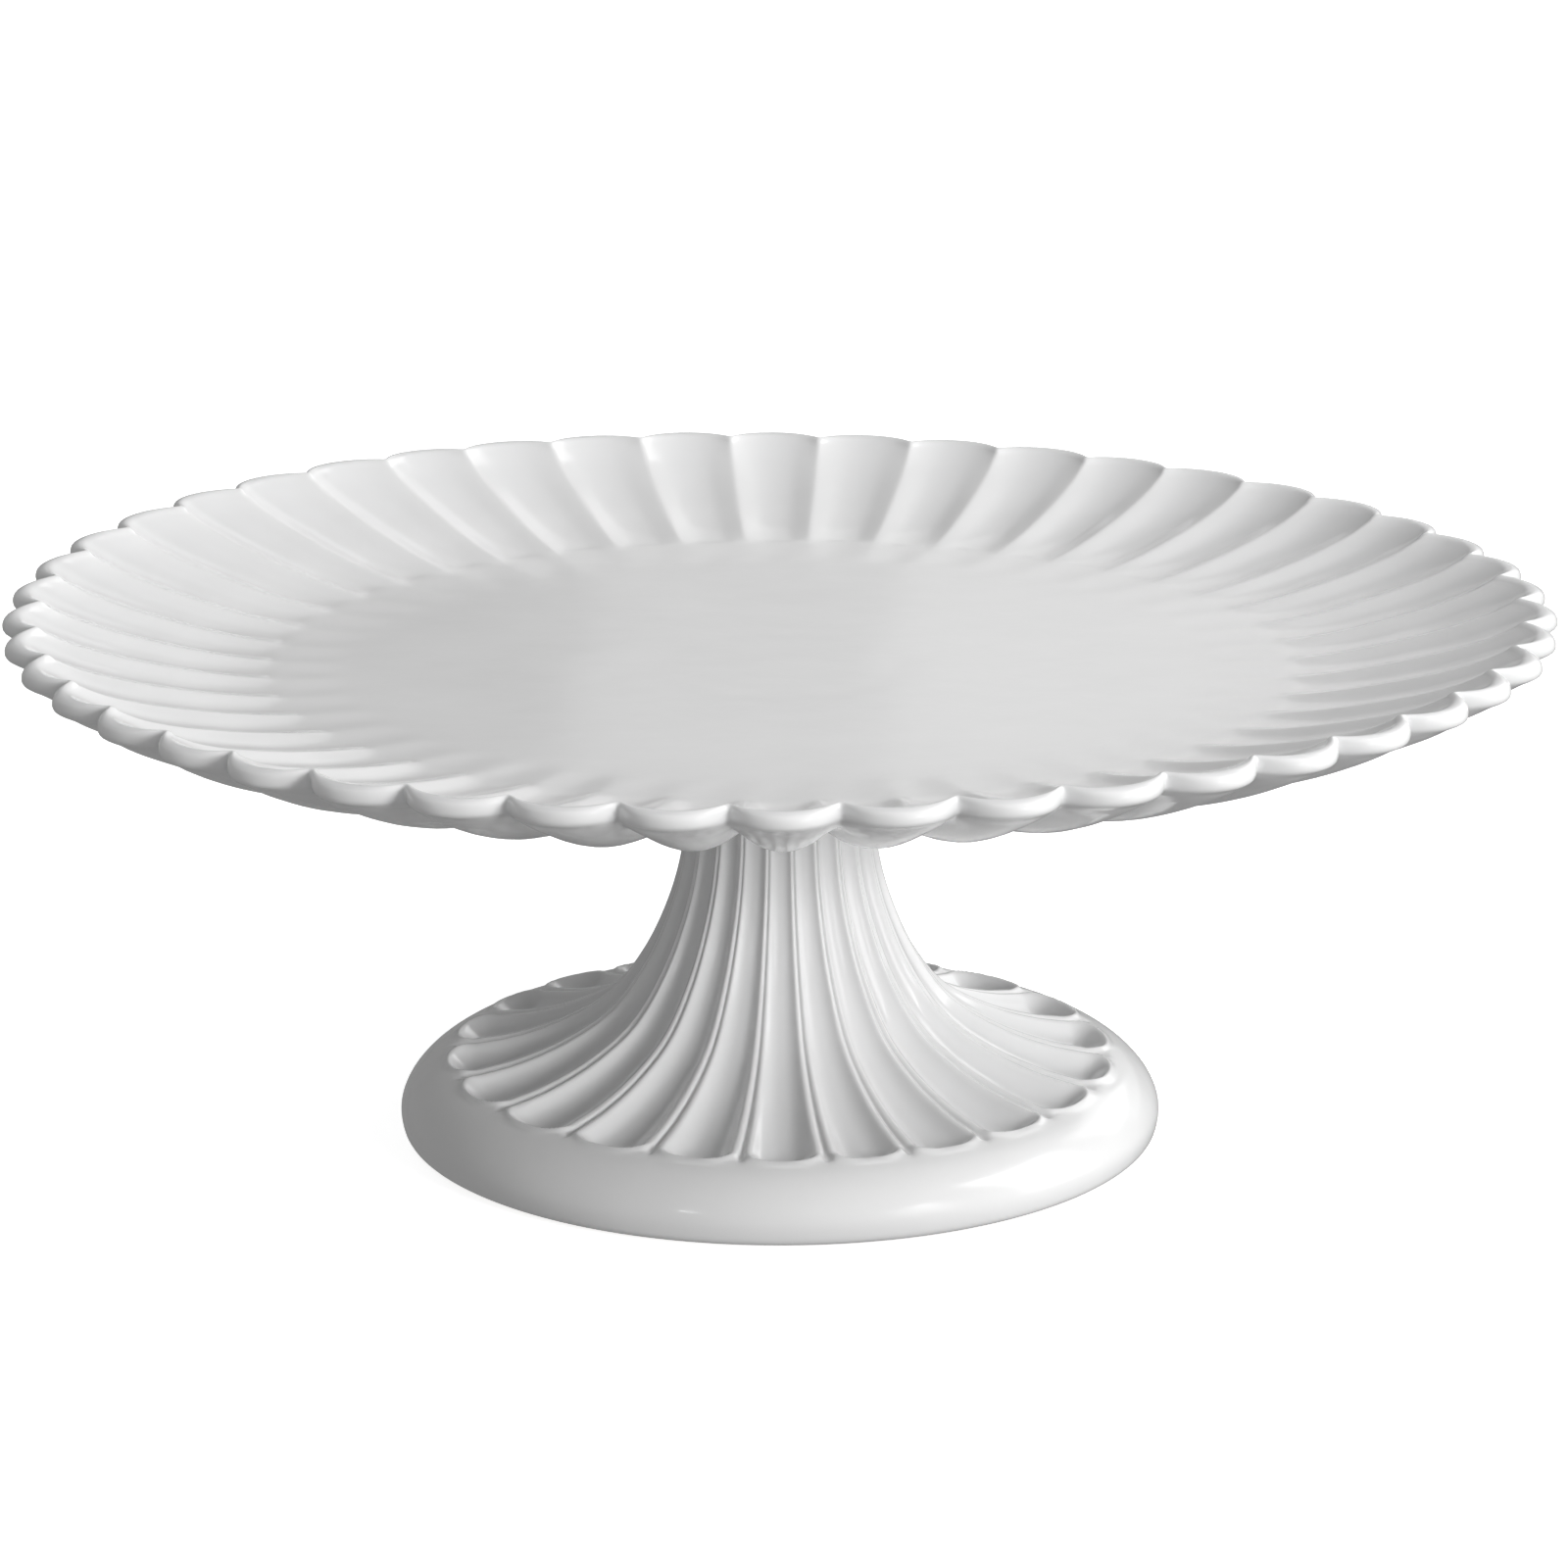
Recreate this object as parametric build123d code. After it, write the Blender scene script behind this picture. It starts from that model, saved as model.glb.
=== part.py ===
from build123d import *
import math
import os

# Pedestal cake stand, millimetres.  The stand's axis is Z, and the origin is the middle of
# its footprint, on the table: the pads stand at z = 0 and the top of the rim is the highest.

# ---- plate --------------------------------------------------------------------------------
overall_height = 109.6            # to the highest lobes of the rim
plate_diameter = 305.0            # over the tips of the lobes, 12 inches
lobe_count = 46                   # flutes round the plate's rim
cusp_radius = 146.7               # radius of the notches between lobes
rim_depth = 14.4                  # from the rim's top down to the flat well
rim_thickness = 2.6               # of the lip, measured level
lip_height = 5.8                  # upright band round each lobe
lip_bevel = 0.9                   # under the band
well_thickness = 7.0

# Sections of the fluted shell as (notch radius, tip radius, rise): the inside's rise is above
# the well, and the outside's is above the well's underside.
shell_inside = [(97.0, 102.0, 0.0), (118.0, 123.0, 3.4), (134.0, 139.6, 7.8)]
shell_outside = [(94.0, 94.6, 0.0), (108.0, 112.0, 3.4), (122.5, 130.0, 7.8)]

boss_radius = 21.0                # collar under the plate that sits on the pedestal
boss_drop = 8.0
boss_fillet = 9.0

# ---- pedestal -----------------------------------------------------------------------------
# The flared stem's outer profile, from the foot's shoulder up to the neck, as (radius, height).
stem_profile = [(65.8, 14.7), (54.4, 16.9), (43.9, 20.6), (34.5, 26.4), (27.4, 35.6),
                (23.0, 45.0), (19.8, 56.0), (18.8, 66.0)]
neck_flare = (19.3, 72.5)         # a point where the neck opens out again under the seat
seat_radius = 21.0
seat_web = 8.0                    # solid top of the pedestal, under the gasket

ring_sole_radius = 74.0           # outer edge of the face next to the table
# The foot ring's rounded side, upwards through its widest part, as (radius, height).
ring_side = [(75.2, 2.0), (75.9, 5.2), (74.9, 8.2), (72.6, 11.0), (69.4, 13.3)]

foot_flutes = 21
flute_share = 0.80                # of the stem's girth that the flutes take up
flute_depth_share = 0.30          # of a flute's half width
flute_depth_least = 0.25
flute_start = 0.105               # part of the profile left plain at the shoulder
flute_stations = 7

# The cavity inside, from the table up to the neck's bore, as (radius, height).
hollow_mouth = [(61.5, 3.0), (60.2, 6.6), (56.5, 8.4)]
hollow_flare = [(56.5, 8.4), (38.0, 13.0), (24.0, 22.5), (15.5, 36.0), (11.5, 52.0)]

# ---- fittings -----------------------------------------------------------------------------
gasket_thickness = 1.0
gasket_inset = 1.5                # from the collar's edge
gasket_clearance = 0.5            # round the insert's flange
screw_size = 8.0                  # M8
screw_length = 20.0
screw_fit = 0.05                  # radial clearance that stands for the thread
screw_head_radius = 6.5
screw_head_height = 8.0
screw_chamfer = 0.8
screw_hole_clearance = 0.5        # radial, through the pedestal's seat
hex_key = 6.0
hex_depth = 4.5
insert_radius = 6.0
insert_length = 10.8
insert_flange_radius = 8.0
insert_flange = 1.0
washer_radius = 10.0
steel_washer_thickness = 1.5
steel_washer_clearance = 0.2      # radial, round the screw
cushion_washer_thickness = 1.5
cushion_washer_clearance = 0.3

pad_count = 4
pad_start_angle = 45
pad_radius = 3.5
pad_thickness = 1.2
pad_proud = 0.4
pad_edge = 0.3
pad_clearance = 0.1               # radial, in its pocket
pad_circle_radius = 67.4

past = 1.0                        # how far a cutting solid runs past the face it opens

# ---- heights that follow from them --------------------------------------------------------
well_top = overall_height - rim_depth
well_bottom = well_top - well_thickness
lip_bottom = overall_height - lip_height
boss_bottom = well_bottom - boss_drop
seat_top = boss_bottom - gasket_thickness
web_bottom = seat_top - seat_web
steel_washer_top = web_bottom - cushion_washer_thickness
head_top = steel_washer_top - steel_washer_thickness
head_bottom = head_top - screw_head_height
insert_top = boss_bottom + insert_length
ring_bottom = pad_proud
lobe_radius = plate_diameter / 2
lobe_angle = 360 / lobe_count


def at(radius, height):
    """A point of an outline, in the XZ plane."""
    return (radius, 0, height)


def scallop(notch_radius, tip_radius, height):
    """A closed ring of arcs, one for each lobe, that meet in notches."""
    def place(radius, angle):
        turn = math.radians(angle)
        return (radius * math.cos(turn), radius * math.sin(turn), height)

    arcs = []
    for lobe in range(lobe_count):
        start = lobe * lobe_angle
        arcs.append(ThreePointArc(
            place(notch_radius, start),
            place(tip_radius, start + lobe_angle / 2),
            place(notch_radius, start + lobe_angle)))
    return Wire(arcs)


def ring_stack(rings):
    """A solid through scalloped rings of (notch radius, tip radius, height)."""
    return Solid.make_loft([scallop(*ring) for ring in rings], ruled=True)


def disc(radius, bottom, top, bore=0.0):
    """An upright cylinder, with a hole through it if bore is given."""
    middle = Pos(0, 0, (bottom + top) / 2)
    solid = middle * Cylinder(radius, top - bottom)
    if bore:
        solid -= middle * Cylinder(bore, top - bottom + 2 * past)
    return solid


def turned(outline):
    """The solid that a closed outline in the XZ plane makes about the Z axis."""
    return revolve(make_face(outline), axis=Axis.Z)


def curve_through(points):
    """A smooth curve through (radius, height) points."""
    return Spline(*[at(*point) for point in points])


def shell():
    """The fluted bowl of the plate, between its scalloped outside and inside."""
    outside = [(notch, tip, well_bottom + rise) for notch, tip, rise in shell_outside]
    outside += [
        (cusp_radius - lip_bevel, lobe_radius - lip_bevel, lip_bottom),
        (cusp_radius, lobe_radius, lip_bottom + lip_bevel),
        (cusp_radius, lobe_radius, overall_height)]
    inside = [(notch, tip, well_top + rise) for notch, tip, rise in shell_inside]
    cusp = cusp_radius - rim_thickness
    tip = lobe_radius - rim_thickness
    inside += [(cusp, tip, overall_height), (cusp + past, tip + past, overall_height + past)]
    return ring_stack(outside) - ring_stack(inside)


def collar():
    """The collar under the well, with a hollow curve where it joins."""
    root = boss_radius + boss_fillet
    inset = 0.3 * boss_fillet      # of the middle of the curve from the inner corner
    overlap = 2.0                  # runs up into the well's floor
    return turned(
        Line(at(0, boss_bottom), at(boss_radius, boss_bottom))
        + ThreePointArc(at(boss_radius, boss_bottom),
                        at(boss_radius + inset, well_bottom - inset),
                        at(root, well_bottom))
        + Polyline(at(root, well_bottom), at(root, well_bottom + overlap),
                   at(0, well_bottom + overlap), at(0, boss_bottom)))


def cake_plate():
    """The fluted plate: shell, flat well, and collar with a blind hole for the insert."""
    plate = shell() + collar()
    plate -= disc(insert_radius, boss_bottom - past, insert_top)
    plate -= disc(insert_flange_radius, boss_bottom - past, boss_bottom + insert_flange)
    return plate


def flute_cutter():
    """One channel of the stem: round in section, wide at the foot and narrow at the neck."""
    curve = curve_through(stem_profile)
    centres = []
    radii = []
    for step in range(flute_stations):
        along = flute_start + (1 - flute_start) * step / (flute_stations - 1)
        point = curve.position_at(along)
        tangent = curve.tangent_at(along)
        normal = Vector(-tangent.Z, 0, tangent.X)
        if normal.X < 0:
            normal = -normal
        half_width = flute_share * math.pi * point.X / foot_flutes
        depth = flute_depth_share * half_width + flute_depth_least
        radius = (half_width ** 2 + depth ** 2) / (2 * depth)
        centres.append(point + normal * (radius - depth))
        radii.append(radius)
    path = Spline(*centres)
    sections = []
    for centre, radius in zip(centres, radii):
        direction = path.tangent_at(path.param_at_point(centre))
        sections.append(Wire.make_circle(radius, Plane(origin=centre, z_dir=direction)))
    channel = Solid.make_loft(sections, ruled=False)
    rounded_end = Pos(*centres[0]) * Sphere(radii[0])
    return channel + rounded_end


def foot_outside():
    """The pedestal before it is fluted or hollowed: foot ring, flared stem, neck and seat."""
    neck = stem_profile[-1]
    sole_edge = (ring_sole_radius, ring_bottom)
    return turned(
        curve_through(stem_profile)
        + Spline(at(*neck), at(*neck_flare), at(seat_radius, seat_top),
                 tangents=[at(0, 1), at(0.7, 1)])
        + Polyline(at(seat_radius, seat_top), at(0, seat_top), at(0, ring_bottom),
                   at(*sole_edge))
        + curve_through([sole_edge] + ring_side + stem_profile[:1]))


def foot_hollow():
    """The cavity inside the foot and the bore up its neck, to the web under the seat."""
    mouth_radius, mouth_height = hollow_mouth[0]
    bore_radius, bore_start = hollow_flare[-1]
    return turned(
        Polyline(at(0, -past), at(mouth_radius, -past), at(mouth_radius, mouth_height))
        + ThreePointArc(*[at(*point) for point in hollow_mouth])
        + Spline(*[at(*point) for point in hollow_flare], tangents=[at(-1, 0.1), at(0, 1)])
        + Polyline(at(bore_radius, bore_start), at(bore_radius, web_bottom),
                   at(0, web_bottom), at(0, -past)))


def pad_places():
    """Where the pads go round the foot ring."""
    return PolarLocations(pad_circle_radius, pad_count, start_angle=pad_start_angle)


def pedestal_foot():
    """The hollow fluted pedestal, with its screw hole and the pockets for the pads."""
    body = foot_outside()
    cutter = flute_cutter()
    step = 360 / foot_flutes
    body -= [Rot(0, 0, index * step) * cutter for index in range(foot_flutes)]
    body -= foot_hollow()
    body -= disc(screw_size / 2 + screw_hole_clearance, web_bottom - past, seat_top + past)
    pocket = disc(pad_radius + pad_clearance, ring_bottom - past, pad_thickness)
    body -= [place * pocket for place in pad_places()]
    return body


def seat_gasket():
    """Soft ring between the plate's collar and the pedestal's seat."""
    return disc(boss_radius - gasket_inset, seat_top, boss_bottom,
                bore=insert_flange_radius + gasket_clearance)


def threaded_insert():
    """Flanged bush bonded in the plate's blind hole, threaded for the clamp screw."""
    bush = disc(insert_radius, boss_bottom, insert_top)
    bush += disc(insert_flange_radius, boss_bottom, boss_bottom + insert_flange)
    return bush - disc(screw_size / 2, boss_bottom - past, insert_top + past)


def clamp_screw():
    """Socket-head screw that pulls the plate down on the pedestal from inside the stem."""
    head = disc(screw_head_radius, head_bottom, head_top)
    head = chamfer(head.edges().sort_by(Axis.Z)[0], screw_chamfer)
    shank = disc(screw_size / 2 - screw_fit, head_top, head_top + screw_length)
    shank = chamfer(shank.edges().sort_by(Axis.Z)[-1], screw_chamfer)
    hexagon = RegularPolygon(hex_key / 2, 6, major_radius=False)
    socket = extrude(Plane.XY.offset(head_bottom) * hexagon, hex_depth)
    return head + shank - socket


def steel_washer():
    """Flat washer under the screw's head."""
    return disc(washer_radius, head_top, steel_washer_top,
                bore=screw_size / 2 + steel_washer_clearance)


def cushion_washer():
    """Soft washer that keeps the steel one off the glaze."""
    return disc(washer_radius, steel_washer_top, web_bottom,
                bore=screw_size / 2 + cushion_washer_clearance)


def foot_pads():
    """Small round pads set in the pockets under the foot ring."""
    pad = disc(pad_radius, 0, pad_thickness)
    pad = fillet(pad.edges().sort_by(Axis.Z)[0], pad_edge)
    return Compound(children=[place * pad for place in pad_places()])


os.makedirs("parts", exist_ok=True)
for make in (cake_plate, pedestal_foot, seat_gasket, threaded_insert, clamp_screw,
             steel_washer, cushion_washer, foot_pads):
    export_step(make(), f"parts/{make.__name__}.step")
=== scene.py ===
import math

import bmesh
import bpy
import numpy as np
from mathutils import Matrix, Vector


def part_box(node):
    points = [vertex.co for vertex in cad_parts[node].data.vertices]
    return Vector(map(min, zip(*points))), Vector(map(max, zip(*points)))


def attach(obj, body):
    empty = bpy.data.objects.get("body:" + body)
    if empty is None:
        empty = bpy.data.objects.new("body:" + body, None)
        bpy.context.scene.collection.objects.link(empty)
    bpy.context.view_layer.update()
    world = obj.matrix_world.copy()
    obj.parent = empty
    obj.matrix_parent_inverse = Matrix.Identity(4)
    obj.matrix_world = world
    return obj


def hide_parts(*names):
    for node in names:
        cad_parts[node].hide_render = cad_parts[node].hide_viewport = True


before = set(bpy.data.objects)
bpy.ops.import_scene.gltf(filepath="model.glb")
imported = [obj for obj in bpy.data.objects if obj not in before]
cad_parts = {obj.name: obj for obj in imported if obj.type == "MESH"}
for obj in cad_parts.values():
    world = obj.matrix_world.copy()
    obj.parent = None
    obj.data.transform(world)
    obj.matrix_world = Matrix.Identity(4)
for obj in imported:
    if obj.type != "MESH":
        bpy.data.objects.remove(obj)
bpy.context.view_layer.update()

# A glazed cake stand: a fluted plate clamped on a fluted pedestal.  Shapes are worked out in
# millimetres about the stand's axis, and skin() turns them into metres.  Each surface is a
# stack of rings of points, from which skin() makes one closed mesh.

MM = 0.001


def node_size(name):
    """Outer radius along X, lowest and highest height of a CAD node, in millimetres."""
    low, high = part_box(name)
    return high.x / MM, low.z / MM, high.z / MM


# ---- sizes --------------------------------------------------------------------------------
PLATE_TIP_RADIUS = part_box("cake_plate")[1].y / MM - 0.07
RIM_TOP = node_size("cake_plate")[2]
COLLAR_RADIUS, _, GASKET_TOP = node_size("seat_gasket")
COLLAR_BOTTOM = node_size("cake_plate")[1]
INSERT_FLANGE_RADIUS, _, INSERT_TOP = node_size("threaded_insert")
_, RING_BOTTOM, SEAT_TOP = node_size("pedestal_foot")
WASHER_RADIUS, HEAD_TOP, STEEL_WASHER_TOP = node_size("steel_washer")
CUSHION_TOP = node_size("cushion_washer")[2]
SCREW_HEAD_RADIUS, SCREW_HEAD_BOTTOM, SCREW_TIP = node_size("clamp_screw")

LOBES = 46
LOBE_STEPS = 20                       # columns of mesh to a lobe
LOBE_OUTLINE_RADIUS = 11.2            # of the arc that bounds each lobe
RIM_TURN = math.radians(0.4)
RIM_WAVER = 1.2                       # the rim rises and falls by this, twice round
LOBE_DIP = 0.20                       # the middle of a lobe is lower than its corners
WELL_TOP = 95.2
WELL_BOTTOM = 88.2
INSERT_BORE_RADIUS = 6.05             # of the plate's blind hole
FLANGE_POCKET_RADIUS = 8.05

FLUTES = 21
FLUTE_STEPS = 30
FLUTE_LIP = 0.23                      # width of the lip beside a flute, of half the flute's width
FLUTE_BOWL = 0.35                     # depth of the channel, as the same share
FLUTE_END_LENGTH = 0.60               # of the rounded end, as the same share
FLUTE_END = 67.0                      # radius that the flutes' rounded ends reach
FLUTE_END_INSET = 5.3                 # from there in to where an end's width is taken
GROOVE_DEPTH = 0.07                   # of the line between two lips
HOLLOW_NECK_RADIUS = 11.5
SCREW_HOLE_RADIUS = 4.5
THREAD_PITCH = 1.25
THREAD_DEPTH = 0.62
PADS = 4
PAD_CIRCLE_RADIUS = 67.4


# ---- mesh helpers -------------------------------------------------------------------------
def smooth_rows(rows, steps):
    """Rows of numbers joined by a smooth curve.  steps is the number of stations in each gap:
    a list, or one number for all."""
    rows = np.array(rows, float)
    knots = np.concatenate([[0], np.cumsum(np.linalg.norm(np.diff(rows[:, :2], axis=0), axis=1))])
    slopes = np.gradient(rows, knots, axis=0)
    made = []
    for i in range(len(rows) - 1):
        gap = knots[i + 1] - knots[i]
        count = steps[i] if isinstance(steps, (list, tuple)) else steps
        for t in np.arange(count) / count:
            made.append((2 * t**3 - 3 * t**2 + 1) * rows[i]
                        + (t**3 - 2 * t**2 + t) * gap * slopes[i]
                        + (3 * t**2 - 2 * t**3) * rows[i + 1]
                        + (t**3 - t**2) * gap * slopes[i + 1])
    made.append(rows[-1])
    return np.array(made)


def strip(first, first_count, second, second_count):
    """Faces between two rings, where one may have a whole number of times more points."""
    if first_count < second_count:
        return [face[::-1] for face in strip(second, second_count, first, first_count)]
    ratio = first_count // second_count
    faces = []
    for j in range(second_count):
        long_side = [first + (j * ratio + i) % first_count for i in range(ratio + 1)]
        short_side = [second + (j + 1) % second_count, second + j]
        faces.append(long_side + (short_side if second_count > 1 else [second]))
    return faces


def skin(name, rings, loop=False):
    """A smooth-shaded object over a stack of rings; loop joins the last ring to the first.
    A ring's fourth column, if it has one, is how much darker the material is drawn there: painted
    shade in recesses, partly glaze pooling."""
    starts = np.concatenate([[0], np.cumsum([len(ring) for ring in rings])]).tolist()
    pairs = [(i, i + 1) for i in range(len(rings) - 1)] + ([(len(rings) - 1, 0)] if loop else [])
    faces = []
    for i, j in pairs:
        if len(rings[i]) == 1:
            count = len(rings[j])
            faces += [[starts[i], starts[j] + (k + 1) % count, starts[j] + k] for k in range(count)]
        elif len(rings[j]) == 1:
            count = len(rings[i])
            faces += [[starts[i] + k, starts[i] + (k + 1) % count, starts[j]] for k in range(count)]
        else:
            faces += strip(starts[i], len(rings[i]), starts[j], len(rings[j]))
    mesh = bpy.data.meshes.new(name)
    mesh.from_pydata((np.vstack([ring[:, :3] for ring in rings]) * MM).tolist(), [], faces)
    mesh.polygons.foreach_set("use_smooth", [True] * len(mesh.polygons))
    # The fourth columns hold painted shade for recesses, partly glaze pooling, for the material.
    painted_shade_and_pool = np.concatenate([ring[:, 3] if ring.shape[1] > 3 else np.zeros(len(ring))
                           for ring in rings])
    attribute = mesh.attributes.new("painted_shade_and_pool", "FLOAT", "POINT")
    attribute.data.foreach_set("value", painted_shade_and_pool.astype(np.float32))
    piece = bpy.data.objects.new(name, mesh)
    bpy.context.scene.collection.objects.link(piece)
    return piece


def circle(radius, height, count):
    """One level ring of points; a radius of 0 is a single point."""
    if radius == 0:
        return np.array([[0.0, 0.0, height]])
    angle = np.arange(count) * 2 * math.pi / count
    return np.stack([radius * np.cos(angle), radius * np.sin(angle), np.full(count, height)], 1)


def spin(radius, height, angle):
    """A level ring at given angles; the radius may differ from one angle to the next."""
    return np.stack([radius * np.cos(angle), radius * np.sin(angle),
                     np.full(len(angle), height), np.zeros(len(angle))], 1)


def moved_to(ring, radius, height):
    """A ring's directions, at another radius and height."""
    ring = ring.copy()
    ring[:, :2] *= radius / np.linalg.norm(ring[:, :2], axis=1)[:, None]
    ring[:, 2] = height
    ring[:, 3] = 0
    return ring


def ease(value):
    """0 below 0, 1 above 1, and a smooth step between."""
    value = np.clip(value, 0, 1)
    return value * value * (3 - 2 * value)


def soft_least(a, b, width):
    """The smaller of two values, with the corner where they cross rounded off."""
    blend = np.clip(0.5 + 0.5 * (b - a) / width, 0, 1)
    return b * (1 - blend) + a * blend - width * blend * (1 - blend)


def ripple(x, y, length, seed):
    """Gentle hand-made unevenness from -1 to 1, with bumps about that many mm apart."""
    draw = np.random.default_rng(seed)
    total = np.zeros_like(x)
    waves = 7
    for _ in range(waves):
        heading, phase = draw.uniform(0, 2 * math.pi, 2)
        size = length * draw.uniform(0.8, 1.7)
        distance = x * math.cos(heading) + y * math.sin(heading)
        total += np.sin(distance * 2 * math.pi / size + phase)
    return total / waves


def columns(bounds, steps):
    """Angles of mesh columns, closer together near each boundary, with their place from 0 to 1
    between the two boundaries around them."""
    even = np.arange(steps) / steps
    place = even - 0.6 * np.sin(2 * math.pi * even) / (2 * math.pi)
    widths = np.diff(bounds)
    angle = (bounds[:-1, None] + widths[:, None] * place).ravel()
    return angle, np.tile(place, len(widths)), np.repeat(widths, steps)


# ---- the plate ----------------------------------------------------------------------------
def lobe_columns():
    """Columns for the lobes, which differ a little in width."""
    draw = np.random.default_rng(4)
    bounds = RIM_TURN + np.arange(LOBES + 1) * 2 * math.pi / LOBES
    bounds[1:-1] += np.radians(draw.uniform(-0.22, 0.22, LOBES - 1))
    return columns(bounds, LOBE_STEPS)


def lobe_bulge(place, rounding):
    """How far out a point of a lobe's outline lies: 0 at its corners and 1 at its tip."""
    centre = PLATE_TIP_RADIUS - LOBE_OUTLINE_RADIUS
    angle = (0.5 - soft_edge(place, rounding)) * 2 * math.pi / LOBES

    def reach(a):
        return centre * np.cos(a) + np.sqrt(LOBE_OUTLINE_RADIUS**2 - (centre * np.sin(a))**2)

    corner = reach(math.pi / LOBES)
    return (reach(angle) - corner) / (PLATE_TIP_RADIUS - corner)


def soft_edge(place, rounding):
    """Distance from the nearer side of a lobe, from 0 to 0.5, with the corner rounded off."""
    edge = np.minimum(place, 1 - place)
    rounded = np.sqrt(edge**2 + rounding**2) - rounding
    return rounded * 0.5 / (math.sqrt(0.25 + rounding**2) - rounding)


def straight_sides(place, rounding):
    """The same for a channel with a straight slope up each side, and a nearly flat bed."""
    edge = np.linspace(0, 0.5, 101)
    steepness = np.interp(edge, [0, 0.22, 0.31, 0.5], [1.0, 0.96, 0.42, 0.0])
    depth = np.cumsum(steepness)
    depth = (depth - depth[0]) / (depth[-1] - depth[0])
    return np.interp(soft_edge(place, rounding), edge, depth)


def corner_radius():
    """Radius of the notches between lobes."""
    centre = PLATE_TIP_RADIUS - LOBE_OUTLINE_RADIUS
    half = math.pi / LOBES
    return centre * math.cos(half) + math.sqrt(
        LOBE_OUTLINE_RADIUS**2 - (centre * math.sin(half))**2)


def plate_rings():
    """Rings from the middle of the well, over the rim and back to the collar's blind hole."""
    notch = corner_radius()
    tip = PLATE_TIP_RADIUS
    top = RIM_TOP - RIM_WAVER
    dip = top - LOBE_DIP
    # Each row: radius and height on the line between lobes, the same in the middle of a lobe,
    # how much of the lobe's section is a soft wave, how rounded its corner is, and how much of
    # the section is two straight sides.
    shoulder = (notch - 2.9, 107.2, tip - 4.5, dip - 0.85, 0.0, 0.03, 0.15)
    lip_foot = (notch - 1.0, top - 3.7, tip - 1.2, dip - 3.55, 0.0, 0.035, 0.0)
    channel = smooth_rows([
        (85.0, WELL_TOP, 84.5, WELL_TOP, 1.0, 0.30, 0.0),
        (90.0, 95.36, 90.0, 95.24, 0.9, 0.22, 0.3),
        (95.5, 95.56, 96.0, 95.42, 0.6, 0.14, 0.6),
        (99.6, 95.76, 100.6, 95.58, 0.3, 0.08, 0.9),
        (102.0, 96.10, 103.4, 95.56, 0.1, 0.05, 1.0),
        (105.0, 96.50, 107.6, 95.86, 0.0, 0.045, 1.0),
        (110.5, 97.35, 114.0, 96.65, 0.0, 0.04, 1.0),
        (118.0, 98.85, 122.6, 98.45, 0.0, 0.04, 1.0),
        (126.5, 100.90, 131.0, 100.55, 0.0, 0.035, 1.0),
        (134.0, 103.05, 138.2, 102.95, 0.0, 0.03, 0.9),
        (139.8, 105.2, 143.6, 105.15, 0.0, 0.03, 0.6),
        shoulder], [3, 3, 4, 5, 4, 4, 5, 5, 4, 4, 4])
    lip = smooth_rows([
        shoulder,
        (notch - 1.7, top - 0.2, tip - 3.1, dip - 0.15, 0.0, 0.03, 0.0),
        (notch - 1.0, top, tip - 2.0, dip, 0.0, 0.03, 0.0),
        (notch - 0.25, top - 0.55, tip - 0.65, dip - 0.55, 0.0, 0.03, 0.0),
        (notch, top - 1.4, tip - 0.1, dip - 1.4, 0.0, 0.035, 0.0),
        (notch, top - 2.2, tip, dip - 2.3, 0.0, 0.035, 0.0),
        (notch - 0.3, top - 3.1, tip - 0.35, dip - 3.05, 0.0, 0.035, 0.0),
        lip_foot], [3, 3, 3, 3, 2, 2, 2])
    under = smooth_rows([
        lip_foot,
        (notch - 1.9, top - 4.3, tip - 2.4, dip - 4.1, 0.0, 0.03, 0.0),
        (142.0, 102.9, 147.6, 102.7, 0.0, 0.03, 0.0),
        (134.0, 100.3, 141.6, 99.7, 0.0, 0.03, 0.0),
        (122.5, 96.6, 131.5, 95.6, 0.05, 0.035, 0.0),
        (108.0, 92.3, 116.5, 91.2, 0.2, 0.05, 0.0),
        (99.0, 89.8, 104.0, 88.9, 0.6, 0.12, 0.0),
        (94.0, 88.4, 94.0, 88.25, 1.0, 0.2, 0.0)], [2, 4, 4, 5, 5, 4, 3])
    rows = np.vstack([channel[:-1], lip[:-1], under])
    angle, place, _ = lobe_columns()
    lobe = np.repeat(np.arange(LOBES), LOBE_STEPS)
    draw = np.random.default_rng(9)
    short = draw.uniform(0, 0.45, LOBES)[lobe]
    uneven = draw.uniform(-1.1, 1.1, LOBES)[lobe]
    wave = 0.5 - 0.5 * np.cos(2 * math.pi * place)
    lip_turn = len(channel) + 8           # the first row on the outside of the lip
    rings = []
    for row, (notch_r, notch_z, tip_r, tip_z, softness, rounding, straight) in enumerate(rows):
        section = lobe_bulge(place, rounding)
        section += straight * (straight_sides(place, rounding) - section)
        bulge = softness * wave + (1 - softness) * section
        outer = ease((notch_r - 100) / 45)
        radius = notch_r + bulge * (tip_r - notch_r - short * outer
                                    + uneven * math.exp(-((notch_r - 99.5) / 5.0)**2))
        height = notch_z + bulge * (tip_z - notch_z)
        # Painted shade: darker in the channel beds on top and at the notches on the outside and
        # underneath, towards the rim; partly glaze pooling.
        painted_shade_and_pool = (1 - bulge) * outer if row >= lip_turn else bulge * outer
        rings.append(np.stack([radius * np.cos(angle), radius * np.sin(angle), height, painted_shade_and_pool], 1))
    return well_rings(rings[0]) + rings + underside_rings(rings[-1])


def well_rings(edge):
    """The flat well, out to the first ring of the flutes, with a faint ring in its middle."""
    def level(radius, step):
        faint_ring = 0.035 * math.exp(-((radius - 24) / 3.5)**2)
        return moved_to(edge[::step], radius, WELL_TOP - faint_ring)

    inner = [level(radius, 20) for radius in np.arange(2.0, 34.0, 2.0)]
    outer = [level(radius, 5) for radius in np.arange(36.0, 84.0, 4.0)]
    return [circle(0, WELL_TOP, 1)] + inner + outer


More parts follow.
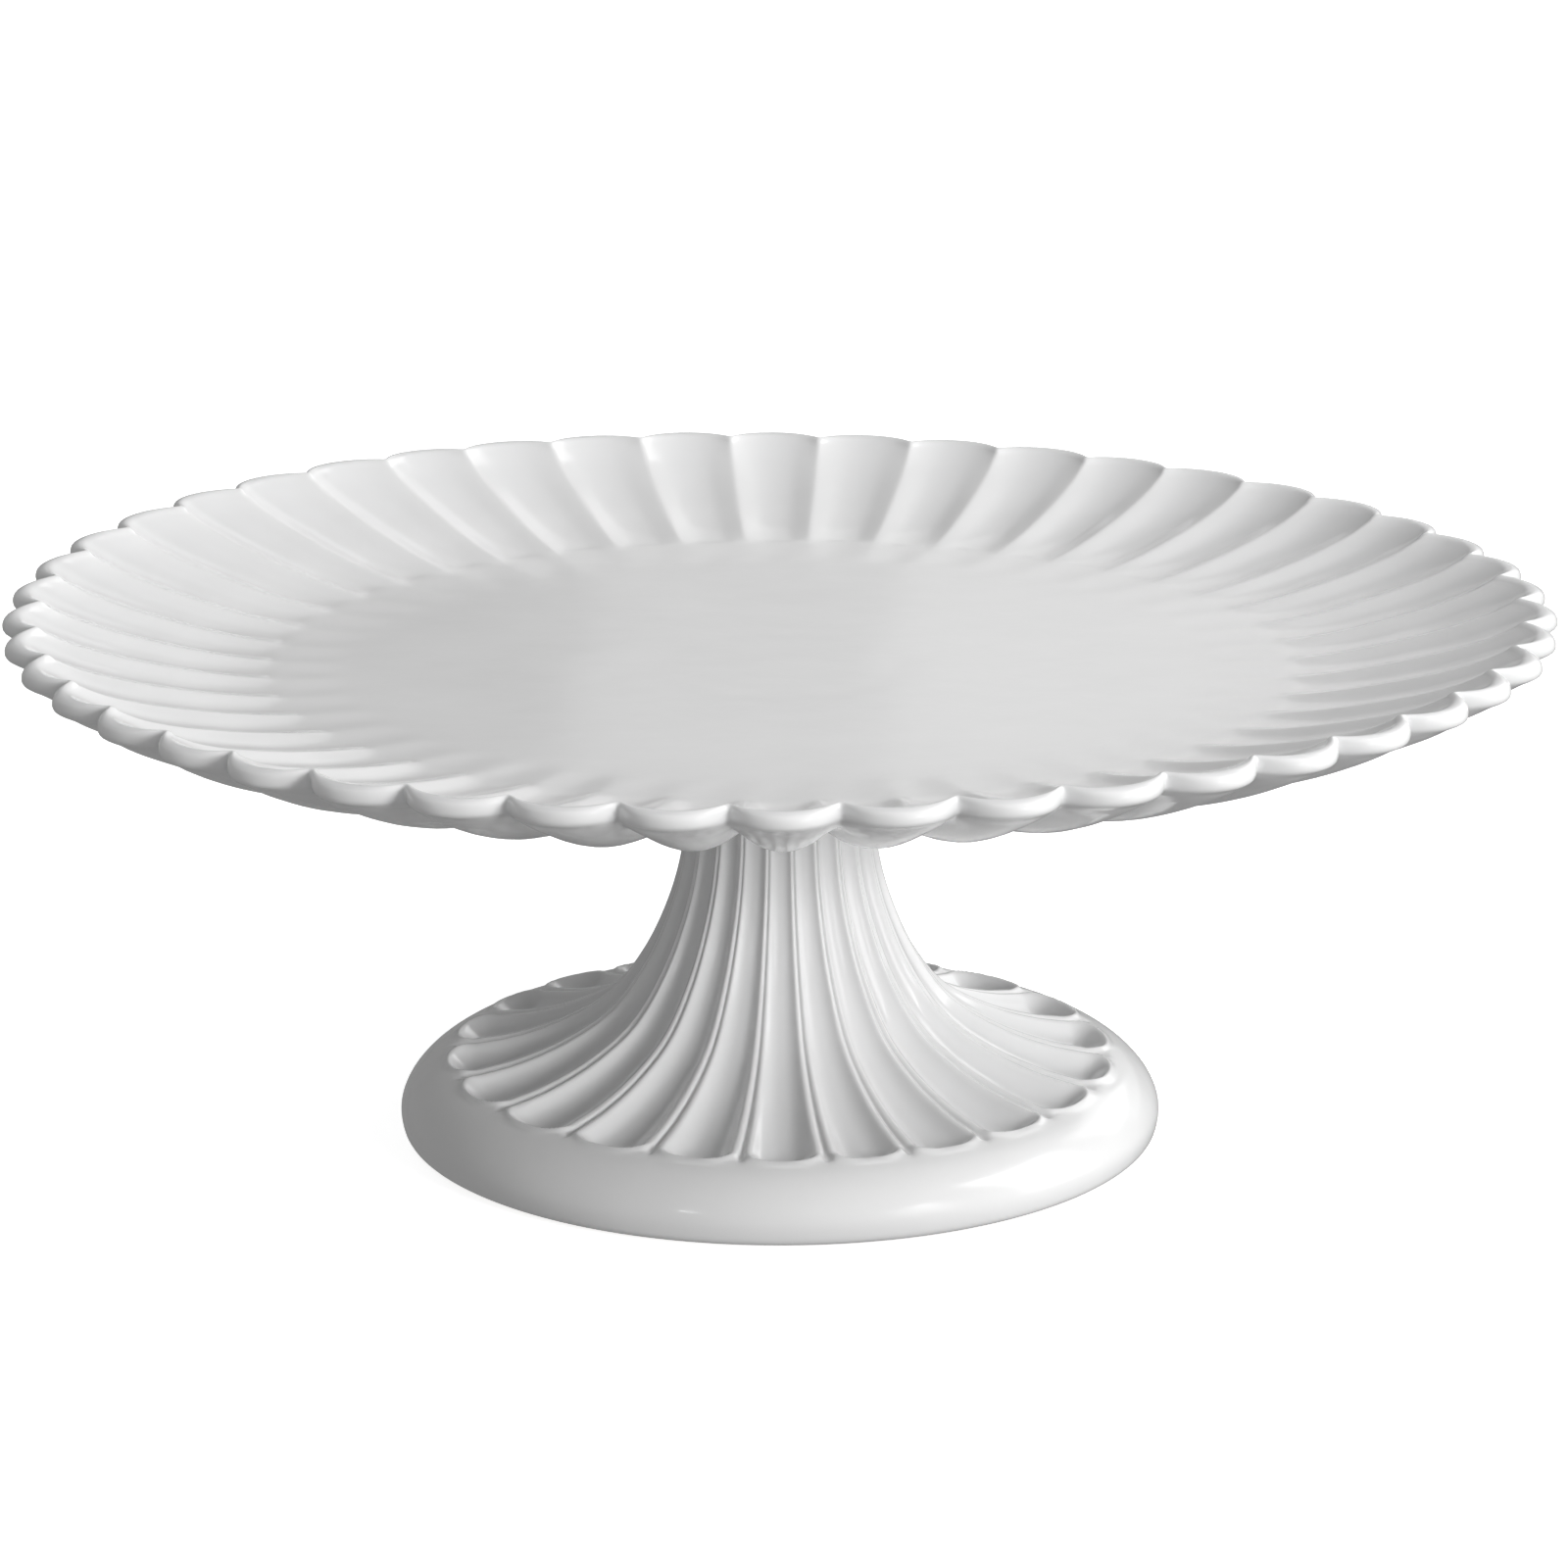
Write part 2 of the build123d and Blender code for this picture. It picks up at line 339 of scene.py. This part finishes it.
def underside_rings(edge):
    """Under the well, round the collar and up into its blind hole for the threaded insert."""
    root = smooth_rows([
        (34.0, WELL_BOTTOM), (30.0, WELL_BOTTOM - 0.15), (26.0, WELL_BOTTOM - 0.9),
        (22.9, WELL_BOTTOM - 3.2), (21.3, WELL_BOTTOM - 5.6), (20.95, COLLAR_BOTTOM + 0.8),
        (20.6, COLLAR_BOTTOM + 0.15), (19.9, COLLAR_BOTTOM)], 3)
    flange, bore = FLANGE_POCKET_RADIUS, INSERT_BORE_RADIUS
    roof = INSERT_TOP + 0.02
    pocket = [(12.0, COLLAR_BOTTOM), (flange, COLLAR_BOTTOM), (flange, COLLAR_BOTTOM + 0.4),
              (flange, COLLAR_BOTTOM + 1.0), (7.0, COLLAR_BOTTOM + 1.0),
              (bore, COLLAR_BOTTOM + 1.0), (bore, COLLAR_BOTTOM + 1.5),
              (bore, INSERT_TOP - 0.5), (bore, roof), (5.5, roof)]
    flat = [(radius, WELL_BOTTOM) for radius in (90.0, 84.0, 74.0, 62.0, 50.0, 40.0)]
    profile = flat + [tuple(row) for row in root] + pocket
    return [moved_to(edge[::5], radius, height) for radius, height in profile] + [
        circle(0, roof, 1)]


def waver(rings):
    """The hand-made rim: it rises and falls twice round, and the glaze lies a little unevenly."""
    for ring in rings:
        x, y = ring[:, 0], ring[:, 1]
        radius = np.hypot(x, y)
        twice_round = -2 * x * y / np.maximum(radius, 1)**2
        ring[:, 2] += RIM_WAVER * twice_round * ease((radius - 90) / 55)
        uneven = ripple(x, y, 60, 11) * ease((radius - 8) / 20) * ease((150 - radius) / 30)
        ring[:, 2] += 0.12 * uneven
    return rings


# ---- the pedestal -------------------------------------------------------------------------
# The stem's outer profile, from the neck down to the shoulder above the foot ring.
STEM = [(19.3, 72.5), (18.8, 66.0), (19.8, 56.0), (23.0, 45.0), (27.5, 35.6), (34.6, 26.4),
        (44.0, 20.6), (54.4, 16.9), (62.4, 15.3), (66.6, 14.4)]


def flute_columns():
    """Columns for flutes set out as given: close together in front, wide at the sides."""
    turn = math.radians(3.41) + np.arange(FLUTES + 1) * 2 * math.pi / FLUTES
    twice_round = math.radians(3.33) * np.sin(2 * (turn - math.radians(107.3)))
    once_round = math.radians(2.90) * np.sin(turn - math.radians(80.6))
    bounds = turn - twice_round + once_round
    return columns(bounds, FLUTE_STEPS)


def flute_depth(radius, along, place, width, end_along):
    """Depth of the carving below the smooth profile.  along runs down the profile, and
    end_along is where the rounded ends of the flutes stop."""
    half = radius * width / 2
    across = np.abs(place - 0.5) * 2 * half
    end_half = (FLUTE_END - FLUTE_END_INSET) * width / 2
    end_length = FLUTE_END_LENGTH * end_half
    beyond = along - (end_along - end_length)
    in_end = beyond > 0
    local = np.where(in_end, end_half, half)
    blunt = 2.5
    out = local * ((across / local)**blunt
                   + (np.maximum(beyond, 0) / end_length)**blunt)**(1 / blunt)
    ending = ease(beyond / (0.7 * end_length))
    inside = local - out
    crest = FLUTE_LIP * local
    share = out / (local - crest)
    bowl = -FLUTE_BOWL * local * (1 - share**(2.6 - 0.3 * ending))
    groove_width = 0.12 + 0.05 * local
    groove = GROOVE_DEPTH * local * np.exp(-(inside / groove_width)**2) * (1 - ending)
    bead = 0.85 * ending * np.exp(-((inside - 0.6 * crest) / 1.1)**2)
    lip = bead - groove - 0.012 * local * (1 - np.clip(inside / crest, 0, 1)) * (1 - ending)
    carved = np.where(inside < 0, lip, soft_least(bowl, lip, (0.07 + 0.11 * ending) * local))
    pit = np.exp(-((half - across) / 0.9)**2 - ((beyond - 0.5 * end_length) / 1.5)**2)
    carved -= 0.6 * pit * in_end
    top_fade = ease((along - 3.0) / 5.0)
    return carved * top_fade


def pedestal_rings():
    """Closed rings from the seat down the outside, and back up inside to the screw's hole."""
    stem = smooth_rows([(20.4, SEAT_TOP - 1.6)] + STEM, [4, 5, 10, 12, 11, 12, 13, 14, 14, 9])
    ring = smooth_rows([
        (66.6, 14.4), (70.0, 12.9), (73.1, 10.4), (75.1, 7.6), (75.9, 5.2),
        (75.8, 3.0), (75.2, 1.3), (74.2, RING_BOTTOM + 0.25), (72.9, RING_BOTTOM)],
        [4, 4, 4, 4, 3, 3, 3, 3])
    outside = np.vstack([stem, ring[1:]])
    steps = np.linalg.norm(np.diff(outside, axis=0), axis=1)
    along = np.concatenate([[0], np.cumsum(steps)])
    end_along = float(np.interp(FLUTE_END, outside[len(stem) - 8:len(stem) + 8, 0],
                                along[len(stem) - 8:len(stem) + 8]))
    direction = np.gradient(outside, along, axis=0)
    direction /= np.linalg.norm(direction, axis=1)[:, None]
    normal = np.stack([-direction[:, 1], direction[:, 0]], 1)
    angle, place, width = flute_columns()
    rings = [spin(radius, SEAT_TOP, angle[::5])
             for radius in (SCREW_HOLE_RADIUS, 8.0, 12.0, 16.0, 19.0)]
    rings += [spin(20.0, SEAT_TOP - 0.1, angle), spin(20.4, SEAT_TOP - 0.5, angle)]
    for (radius, height), (out, up), distance in zip(outside, normal, along):
        depth = flute_depth(radius, distance, place, width, end_along)
        carved_radius = radius + depth * out
        carved_height = height + depth * up
        # Painted shade: the deeper the carving, the darker the glaze is drawn; partly glaze
        # pooling.
        painted_shade_and_pool = np.clip(-depth / 2.5, 0, 1)
        rings.append(np.stack([carved_radius * np.cos(angle), carved_radius * np.sin(angle),
                               carved_height, painted_shade_and_pool], 1))
    return rings + hollow_rings(angle)


def hollow_rings(angle):
    """The foot's ground rim, the cast hollow inside and the key's way up to the screw."""
    rim = [(70.0, RING_BOTTOM), (67.0, RING_BOTTOM), (64.5, RING_BOTTOM), (62.6, RING_BOTTOM)]
    hollow = smooth_rows([
        (61.9, RING_BOTTOM + 0.4), (61.5, 1.6), (61.2, 4.2), (59.6, 7.0), (56.5, 8.4),
        (47.5, 10.3), (38.0, 13.0), (30.0, 17.2), (24.0, 22.5), (18.8, 29.5), (15.5, 36.0),
        (12.7, 44.0), (HOLLOW_NECK_RADIUS, 52.0)], 4)
    hole = SCREW_HOLE_RADIUS
    bore = [(HOLLOW_NECK_RADIUS, 58.0), (HOLLOW_NECK_RADIUS, 64.0), (11.45, 70.2), (11.0, 71.1),
            (10.4, 71.2), (7.0, 71.2), (4.6, 71.2), (hole, 71.4), (hole, 75.0),
            (hole, SEAT_TOP - 0.2)]
    rows = rim + [tuple(row) for row in hollow] + bore
    return [spin(radius, height, angle[::5]) for radius, height in rows]


# ---- fittings -----------------------------------------------------------------------------
def washer(name, bore, radius, low, high, edge, count=96):
    """A flat ring with rounded edges."""
    outline = []
    middles = [(bore + edge, low + edge), (radius - edge, low + edge),
               (radius - edge, high - edge), (bore + edge, high - edge)]
    for (mid_r, mid_z), start in zip(middles, (180, 270, 0, 90)):
        for step in range(5):
            turn = math.radians(start + step * 22.5)
            outline.append((mid_r + edge * math.cos(turn), mid_z + edge * math.sin(turn)))
    return skin(name, [circle(radius, height, count) for radius, height in outline], loop=True)


def thread(radius, depth, height, angle):
    """Radius of a 60 degree thread at that height, all round."""
    phase = (height / THREAD_PITCH - angle / (2 * math.pi)) % 1
    rise = np.clip(np.abs(phase - 0.5) * 2.6 - 0.15, 0, 1)
    return radius - depth * rise


def screw_rings():
    """Knurled socket head, threaded shank and chamfered tip, in one closed stack."""
    angle = np.arange(120) * 2 * math.pi / 120
    hexagon = 3.0 / np.cos((angle % (math.pi / 3)) - math.pi / 6)
    knurl = 0.16 * np.abs(np.sin(angle * 30))
    low, head = SCREW_HEAD_BOTTOM, SCREW_HEAD_RADIUS
    socket_top = low + 4.5
    plain = HEAD_TOP + 1.6                # the shank's thread starts here
    profile = [(hexagon * 0.6, socket_top + 0.35), (hexagon * 0.97, socket_top),
               (hexagon, socket_top - 0.1), (hexagon, low + 3.0), (hexagon, low + 1.6),
               (hexagon, low + 0.45), (hexagon * 1.03 + 0.12, low + 0.12),
               (4.1, low), (5.5, low), (head - 0.55, low + 0.2), (head - 0.2, low + 0.55)]
    for height in (0.9, 1.2, 2.5, 4.0, 5.5, 6.9, 7.2):
        share = 1.0 if 1.0 < height < 7.0 else 0.0
        profile.append((head - 0.02 - share * knurl, low + height))
    profile += [(head - 0.1, HEAD_TOP - 0.15), (head - 0.4, HEAD_TOP), (4.6, HEAD_TOP),
                (4.05, HEAD_TOP + 0.25)]
    for height in np.arange(plain, SCREW_TIP - 0.01, THREAD_PITCH / 12):
        depth = THREAD_DEPTH * ease((height - plain) / 1.0)
        chamfer = 3.2 + 0.75 * ease((SCREW_TIP - height) / 0.9)
        profile.append((np.minimum(thread(3.93, depth, height, angle), chamfer), height))
    profile.append((2.9, SCREW_TIP))
    rings = [spin(radius, height, angle) for radius, height in profile]
    return [circle(0, socket_top + 0.8, 1)] + rings + [circle(0, SCREW_TIP, 1)]


def insert_rings():
    """Flanged bush: knurled outside, threaded inside, as a closed loop of rings."""
    angle = np.arange(96) * 2 * math.pi / 96
    knurl = 0.15 * np.abs(np.sin(angle * 16))
    low, high, flange = COLLAR_BOTTOM, INSERT_TOP, INSERT_FLANGE_RADIUS
    profile = [(4.7, low + 0.02), (5.4, low), (flange - 0.25, low), (flange - 0.03, low + 0.2),
               (flange - 0.03, low + 0.8), (flange - 0.2, low + 1.0), (6.0, low + 1.0),
               (6.0, low + 2.0)]
    profile += [(6.0 - knurl, low + height) for height in (2.3, 4.5, 7.0, 9.6)]
    profile += [(5.95, high - 0.6), (5.6, high), (4.6, high)]
    for height in np.arange(high - 0.3, low + 0.5, -THREAD_PITCH / 12):
        profile.append((thread(4.08, THREAD_DEPTH, height, angle), height))
    return [spin(radius, height, angle) for radius, height in profile]


def grip_pads(name):
    """Four soft pads that stand in the foot ring, each with a slightly domed sole."""
    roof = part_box("foot_pads")[1].z / MM
    outline = [(0, 0.0), (1.6, 0.0), (2.5, 0.03), (3.05, 0.12), (3.35, 0.32), (3.46, 0.6),
               (3.46, roof), (0, roof)]
    pads = []
    for corner in range(PADS):
        turn = math.radians(45 + corner * 360 / PADS)
        rings = [circle(radius, height, 48) for radius, height in outline]
        pad = skin(f"{name}_{corner + 1}", rings)
        offset = Vector((math.cos(turn), math.sin(turn), 0)) * PAD_CIRCLE_RADIUS * MM
        for vertex in pad.data.vertices:
            vertex.co += offset
        pads.append(pad)
    return pads


# ---- materials ----------------------------------------------------------------------------
def material(name, **settings):
    """A node material with its even values set on the shader's own sockets."""
    made = bpy.data.materials.new(name)
    made.use_nodes = True
    shader = made.node_tree.nodes["Principled BSDF"]
    for socket, value in settings.items():
        shader.inputs[socket.replace("_", " ")].default_value = value
    return made, made.node_tree, shader


def node(tree, kind, **values):
    """A new node, with each value set on its property or input of that name."""
    made = tree.nodes.new(kind)
    for key, value in values.items():
        if hasattr(made, key):
            setattr(made, key, value)
        else:
            made.inputs[key.replace("_", " ")].default_value = value
    return made


def noise(tree, scale, detail=3.0, roughness=0.5):
    """Even noise through the whole object; a scale of 1000 is bumps about a millimetre apart."""
    place = node(tree, "ShaderNodeTexCoord")
    made = node(tree, "ShaderNodeTexNoise", Scale=scale, Detail=detail, Roughness=roughness)
    tree.links.new(place.outputs["Object"], made.inputs["Vector"])
    return made.outputs["Fac"]


def ramp(tree, source, stops):
    """Turns a value into a colour, by stops of (position, colour)."""
    made = node(tree, "ShaderNodeValToRGB")
    elements = made.color_ramp.elements
    for index, (position, colour) in enumerate(stops):
        element = elements[index] if index < 2 else elements.new(position)
        element.position = position
        element.color = (*colour, 1)
    tree.links.new(source, made.inputs["Fac"])
    return made.outputs["Color"]


def bump(tree, source, distance, strength, after=None):
    """A normal from a height in metres, on top of the normal in after."""
    made = node(tree, "ShaderNodeBump", Distance=distance, Strength=strength)
    tree.links.new(source, made.inputs["Height"])
    if after:
        tree.links.new(after, made.inputs["Normal"])
    return made.outputs["Normal"]


def glaze(name, white):
    """Glossy white glaze: faint cloudiness, painted shade that greys the recesses (partly glaze
    pooling), softly uneven surface.
    """
    made, tree, shader = material(name, Roughness=0.16, Specular_IOR_Level=0.5, Coat_Weight=0.35,
                                  Coat_Roughness=0.08)
    cloud = ramp(tree, noise(tree, 22.0, 4.0), [
        (0.3, (white * 0.965,) * 3), (0.7, (white,) * 3)])
    # Painted shade: recessed parts are drawn up to about 5 % greyer, partly glaze pooling.
    painted_shade_and_pool = node(tree, "ShaderNodeAttribute", attribute_name="painted_shade_and_pool")
    mix = node(tree, "ShaderNodeMix", data_type="RGBA", blend_type="MULTIPLY")
    shade = ramp(tree, painted_shade_and_pool.outputs["Fac"], [(0.0, (1, 1, 1)), (1.0, (0.95, 0.952, 0.955))])
    mix.inputs["Factor"].default_value = 1.0
    tree.links.new(cloud, mix.inputs["A"])
    tree.links.new(shade, mix.inputs["B"])
    tree.links.new(mix.outputs["Result"], shader.inputs["Base Color"])
    gloss = ramp(tree, noise(tree, 45.0, 5.0, 0.6), [(0.3, (0.13,) * 3), (0.75, (0.21,) * 3)])
    tree.links.new(gloss, shader.inputs["Roughness"])
    slow = bump(tree, noise(tree, 38.0, 2.0), 0.0006, 0.35)
    fine = bump(tree, noise(tree, 420.0, 2.0), 0.00005, 0.25, slow)
    tree.links.new(fine, shader.inputs["Normal"])
    return made


def bisque(name):
    """Bare ground clay under the foot and on the seat faces."""
    made, tree, shader = material(name, Roughness=0.85, Specular_IOR_Level=0.3)
    colour = ramp(tree, noise(tree, 900.0, 6.0, 0.7), [
        (0.35, (0.60, 0.57, 0.52)), (0.65, (0.74, 0.71, 0.66))])
    tree.links.new(colour, shader.inputs["Base Color"])
    tree.links.new(bump(tree, noise(tree, 1500.0, 4.0, 0.7), 0.0001, 0.6), shader.inputs["Normal"])
    return made


def metal(name, dark, light, roughness, grain):
    """Turned metal: fine rings from the tool, with a faint cloudy tarnish."""
    made, tree, shader = material(name, Metallic=1.0)
    tarnish = ramp(tree, noise(tree, 260.0, 5.0, 0.6), [(0.3, dark), (0.7, light)])
    tree.links.new(tarnish, shader.inputs["Base Color"])
    rough = ramp(tree, noise(tree, 500.0, 4.0), [
        (0.3, (roughness * 0.8,) * 3), (0.7, (roughness * 1.3,) * 3)])
    tree.links.new(rough, shader.inputs["Roughness"])
    place = node(tree, "ShaderNodeTexCoord")
    rings = node(tree, "ShaderNodeTexWave", wave_type="RINGS", rings_direction="Z", Scale=grain,
                 Distortion=1.5, Detail=2.0)
    tree.links.new(place.outputs["Object"], rings.inputs["Vector"])
    tree.links.new(bump(tree, rings.outputs["Fac"], 0.00003, 0.5), shader.inputs["Normal"])
    return made


def rubber(name, dark, light, roughness):
    """Moulded rubber or silicone, with a fine matt skin."""
    made, tree, shader = material(name, Specular_IOR_Level=0.4)
    colour = ramp(tree, noise(tree, 300.0, 5.0, 0.6), [(0.3, dark), (0.7, light)])
    tree.links.new(colour, shader.inputs["Base Color"])
    rough = ramp(tree, noise(tree, 700.0, 3.0), [
        (0.3, (roughness * 0.85,) * 3), (0.7, (roughness * 1.1,) * 3)])
    tree.links.new(rough, shader.inputs["Roughness"])
    tree.links.new(bump(tree, noise(tree, 2500.0, 2.0), 0.00003, 0.4), shader.inputs["Normal"])
    return made


def two_finishes(piece, main, second, chosen):
    """main all over, and second on the faces whose centre, in millimetres, is chosen."""
    piece.data.materials.append(main)
    piece.data.materials.append(second)
    for face in piece.data.polygons:
        if chosen(face.center / MM):
            face.material_index = 1


def outward(piece):
    """Turns a closed mesh's faces to look outwards."""
    work = bmesh.new()
    work.from_mesh(piece.data)
    bmesh.ops.recalc_face_normals(work, faces=work.faces)
    work.to_mesh(piece.data)
    work.free()


def place(piece, body, slot, *nodes):
    """Puts a piece on its body in the frame, in place of those CAD nodes."""
    outward(piece)
    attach(piece, body)
    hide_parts(*nodes)


# ---- build --------------------------------------------------------------------------------
white_glaze = glaze("white_glaze", 0.80)
bare_clay = bisque("bare_clay")
stainless = metal("stainless", (0.50, 0.50, 0.51), (0.66, 0.66, 0.67), 0.24, 700.0)
brass = metal("brass", (0.62, 0.44, 0.18), (0.80, 0.60, 0.28), 0.28, 900.0)
silicone = rubber("silicone", (0.66, 0.66, 0.64), (0.74, 0.74, 0.72), 0.5)
black_rubber = rubber("black_rubber", (0.025, 0.025, 0.026), (0.05, 0.05, 0.052), 0.6)
pad_rubber = rubber("pad_rubber", (0.74, 0.74, 0.72), (0.82, 0.82, 0.80), 0.45)

plate = skin("glazed_plate", waver(plate_rings()))
place(plate, "plate", "plate_glaze", "cake_plate")
two_finishes(plate, white_glaze, bare_clay, lambda centre:
             centre.z < COLLAR_BOTTOM + 0.05 or math.hypot(centre.x, centre.y) < 8.2
             and centre.z < INSERT_TOP + 0.1)

pedestal = skin("glazed_pedestal", pedestal_rings(), loop=True)
place(pedestal, "pedestal", "foot_glaze", "pedestal_foot")
two_finishes(pedestal, white_glaze, bare_clay, lambda centre:
             centre.z < RING_BOTTOM + 0.3 or centre.z > SEAT_TOP - 0.3)

gasket = washer("silicone_gasket", 8.5, COLLAR_RADIUS, SEAT_TOP, GASKET_TOP, 0.4)
place(gasket, "pedestal", "gasket_silicone", "seat_gasket")
gasket.data.materials.append(silicone)

bush = skin("brass_bush", insert_rings(), loop=True)
place(bush, "plate", "insert_brass", "threaded_insert")
bush.data.materials.append(brass)

screw = skin("socket_screw", screw_rings())
place(screw, "clamp_screw", "screw_steel", "clamp_screw")
screw.data.materials.append(stainless)

flat_washer = washer("flat_washer", 4.2, WASHER_RADIUS, HEAD_TOP, STEEL_WASHER_TOP, 0.2)
place(flat_washer, "clamp_washers", "washer_steel", "steel_washer")
flat_washer.data.materials.append(stainless)

soft_washer = washer("soft_washer", 4.3, WASHER_RADIUS, STEEL_WASHER_TOP, CUSHION_TOP, 0.35)
place(soft_washer, "clamp_washers", "cushion_rubber", "cushion_washer")
soft_washer.data.materials.append(black_rubber)

for pad in grip_pads("grip_pad"):
    place(pad, "pedestal", "pad_rubber", "foot_pads")
    pad.data.materials.append(pad_rubber)


# ---- floor, light and camera --------------------------------------------------------------
def pale_ground(name, points, faces, glow):
    """Part of the pale surroundings, which the camera sees but which doesn't light the stand."""
    mesh = bpy.data.meshes.new(name)
    mesh.from_pydata(points, [], faces)
    ground = bpy.data.objects.new(name, mesh)
    bpy.context.scene.collection.objects.link(ground)
    made, _, shader = material("pale_" + name, Roughness=0.9, Specular_IOR_Level=0.1,
                               Emission_Strength=glow)
    shader.inputs["Base Color"].default_value = (0.8, 0.8, 0.8, 1)
    shader.inputs["Emission Color"].default_value = (1, 1, 1, 1)
    mesh.materials.append(made)
    ground.visible_diffuse = False
    ground.visible_glossy = False
    return ground


def surroundings():
    """A table top, bright enough that the stand's shadow stays faint, and a far wall round it."""
    half, wall_radius, wall_height, sides = 12.0, 11.0, 10.0, 96
    pale_ground("floor", [(-half, -half, 0), (half, -half, 0), (half, half, 0), (-half, half, 0)],
                [(0, 1, 2, 3)], glow=0.75)
    points = np.vstack([circle(wall_radius, height, sides) for height in (0, wall_height)])
    faces = strip(0, sides, sides, sides)
    wall = pale_ground("wall", points.tolist(), faces, glow=0.78)
    wall.visible_shadow = False


def soft_lamp(name, azimuth, elevation, power, size=1.0, height=None, distance=1.9):
    """A soft lamp aimed at the stand, in metres and watts; azimuth 0 is the camera's side and
    90 the right."""
    turn, lift = math.radians(azimuth), math.radians(elevation)
    middle = Vector((0, 0, 0.07))
    spot = middle + distance * Vector((
        math.sin(turn) * math.cos(lift), -math.cos(turn) * math.cos(lift), math.sin(lift)))
    data = bpy.data.lights.new(name, "AREA")
    data.shape = "RECTANGLE"
    data.size = size
    data.size_y = height or size
    data.energy = power
    lamp = bpy.data.objects.new(name, data)
    lamp.location = spot
    lamp.rotation_euler = (middle - spot).to_track_quat("-Z", "Y").to_euler()
    bpy.context.scene.collection.objects.link(lamp)
    return lamp


def studio():
    """Window light from the right, weak lamps all round, and a dim grey sky."""
    surroundings()
    soft_lamp("window_front", 42, 14, 23, size=0.6).visible_glossy = False
    soft_lamp("window_side", 90, 12, 6)
    soft_lamp("window_high", 90, 42, 16)
    soft_lamp("fill_front", 0, 12, 3.5).visible_glossy = False
    soft_lamp("back_right", 140, 30, 4)
    soft_lamp("top_left", -100, 60, 4).visible_glossy = False
    soft_lamp("back_left", -155, 22, 4).visible_glossy = False
    # Seen only as reflections: the pale backdrop in the well, and two small panes on the foot.
    soft_lamp("backdrop", 156, 17, 0.85, size=1.5, height=0.8).visible_diffuse = False
    soft_lamp("backdrop_wide", 158, 17, 1.05, size=1.7, height=0.8).visible_diffuse = False
    soft_lamp("pane_right", 44, 23, 0.5, size=0.16).visible_diffuse = False
    soft_lamp("pane_left", -28, 23, 0.4, size=0.14).visible_diffuse = False
    world = bpy.data.worlds.new("studio")
    world.use_nodes = True
    sky = world.node_tree.nodes["Background"]
    sky.inputs["Color"].default_value = (0.92, 0.92, 0.92, 1)
    sky.inputs["Strength"].default_value = 0.28
    bpy.context.scene.world = world
    bpy.context.scene.view_settings.view_transform = "Standard"


def camera():
    """A long lens in front of the stand, a little above the plate, aimed below its rim."""
    distance = 1.2463
    elevation = math.radians(14.15)
    aim_below = math.radians(1.67)
    data = bpy.data.cameras.new("camera")
    data.lens = 145.6
    data.sensor_width = 36
    made = bpy.data.objects.new("camera", data)
    to_the_right = 0.0008
    mean_rim = (RIM_TOP - RIM_WAVER) * MM
    made.location = (to_the_right, -distance * math.cos(elevation),
                     mean_rim + distance * math.sin(elevation))
    made.rotation_euler = (math.pi / 2 - elevation - aim_below, 0, 0)
    bpy.context.scene.collection.objects.link(made)
    bpy.context.scene.camera = made


studio()
camera()
